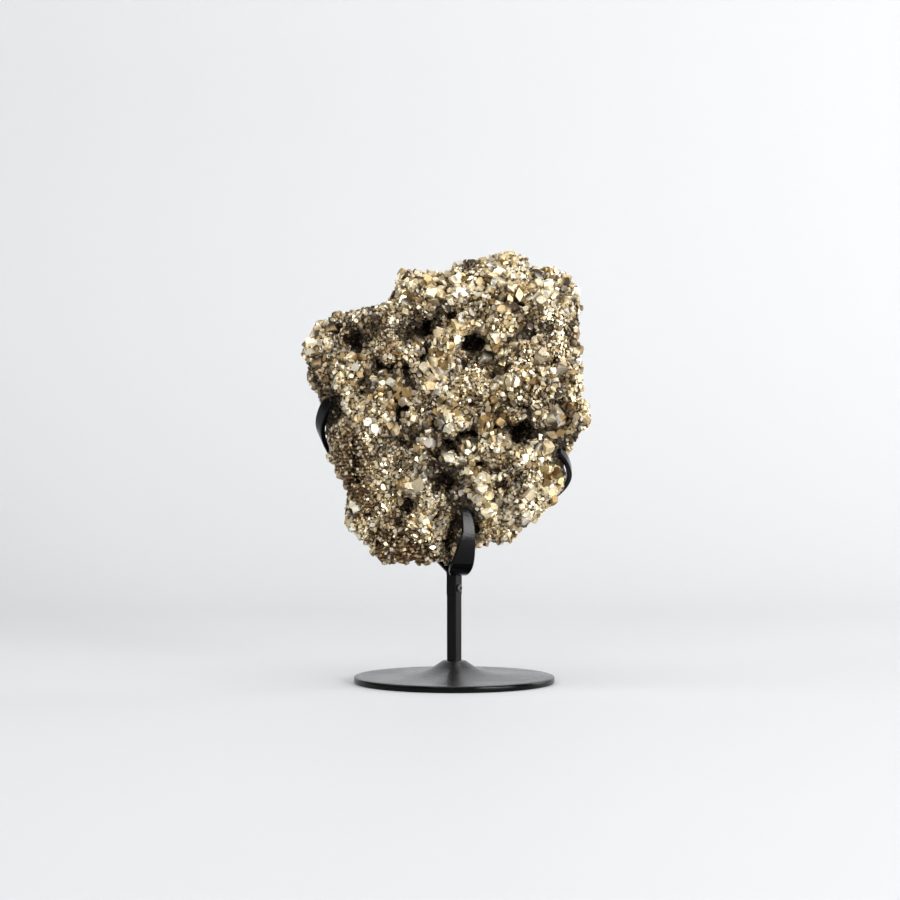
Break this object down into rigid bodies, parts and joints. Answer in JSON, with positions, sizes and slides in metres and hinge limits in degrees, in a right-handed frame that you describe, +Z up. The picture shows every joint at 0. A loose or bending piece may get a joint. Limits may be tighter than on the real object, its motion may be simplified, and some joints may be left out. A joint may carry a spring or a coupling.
{
  "type": "pyrite specimen on stand",
  "caption": "Rough pyrite crystal cluster held upright by three bent metal fingers on a square bar and a round base.",
  "frame": {"origin": "centre of the round base's underside, on the axis of the square bar", "axes": "+Z up along the bar, -Y towards the side the specimen is seen from, +X to its right"},
  "size_m": [0.16, 0.11, 0.2363],
  "materials": {
    "pyrite": "metallic crystal faces, brassy, with brown hollows",
    "black_steel": "satin black"
  },
  "bodies": {
    "root": {"pyrite_cluster": "pyrite", "base": "black_steel", "stem": "black_steel", "head": "black_steel", "set_screw": "black_steel", "front_arm": "black_steel", "left_arm": "black_steel", "right_arm": "black_steel"}
  },
  "joints": []
}
